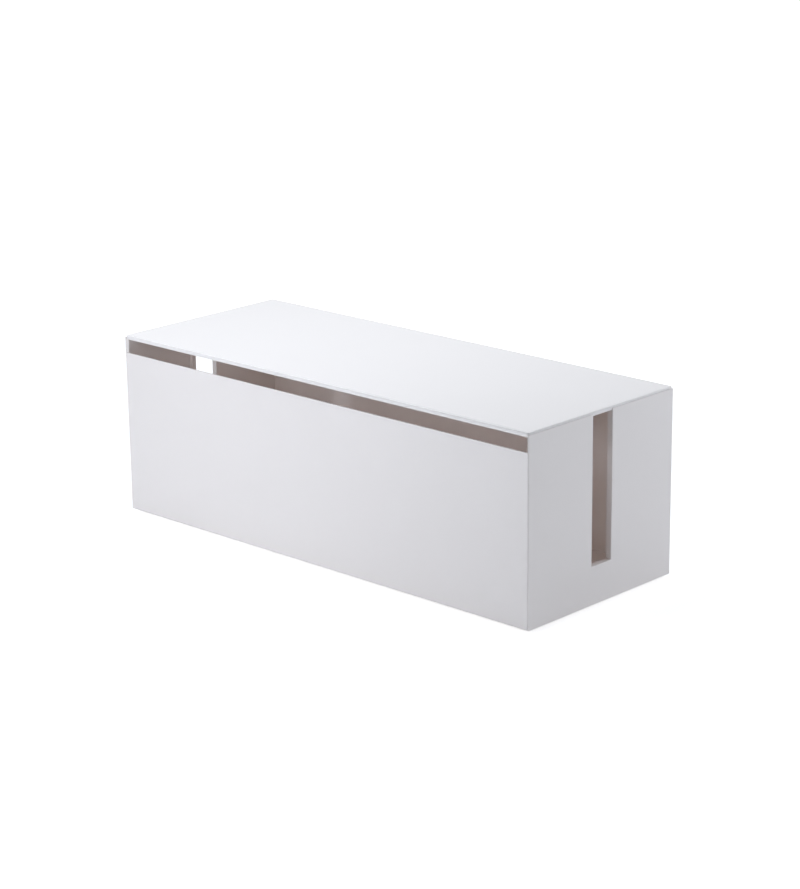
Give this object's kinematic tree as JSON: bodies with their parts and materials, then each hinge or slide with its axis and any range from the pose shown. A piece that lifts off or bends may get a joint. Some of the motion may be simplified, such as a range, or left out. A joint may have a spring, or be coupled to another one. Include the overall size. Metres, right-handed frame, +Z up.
{
  "type": "cable management box",
  "caption": "Long rectangular cable box with a flush lift-off lid, open gaps under the lid's long edges and an upright cord slot in each end.",
  "frame": {"origin": "on the floor, under the middle of the box", "axes": "+X along the box to its right end, +Y from the front to the back, +Z up; the front is the side at -Y"},
  "size_m": [0.4, 0.155, 0.14],
  "materials": {
    "panel_white": "smooth glossy white plastic, very slightly warm",
    "lid_white": "smooth white plastic with a soft gloss",
    "foot_silicone": "milky silicone with a soft sheen"
  },
  "bodies": {
    "box": {"base_panel": "panel_white", "front_panel": "panel_white", "rear_panel": "panel_white", "left_end_panel": "panel_white", "right_end_panel": "panel_white", "left_slot_frame": "panel_white", "right_slot_frame": "panel_white", "foot_left_front": "foot_silicone", "foot_left_rear": "foot_silicone", "foot_right_front": "foot_silicone", "foot_right_rear": "foot_silicone"},
    "lid": {"lid_panel": "lid_white", "lid_rib_left_front": "lid_white", "lid_rib_left_rear": "lid_white", "lid_rib_right_front": "lid_white", "lid_rib_right_rear": "lid_white"}
  },
  "joints": [
    {"name": "lid_lift", "type": "slide", "parent": "box", "child": "lid", "axis": [0, 0, 1], "range_m": [0, 0.08]}
  ]
}
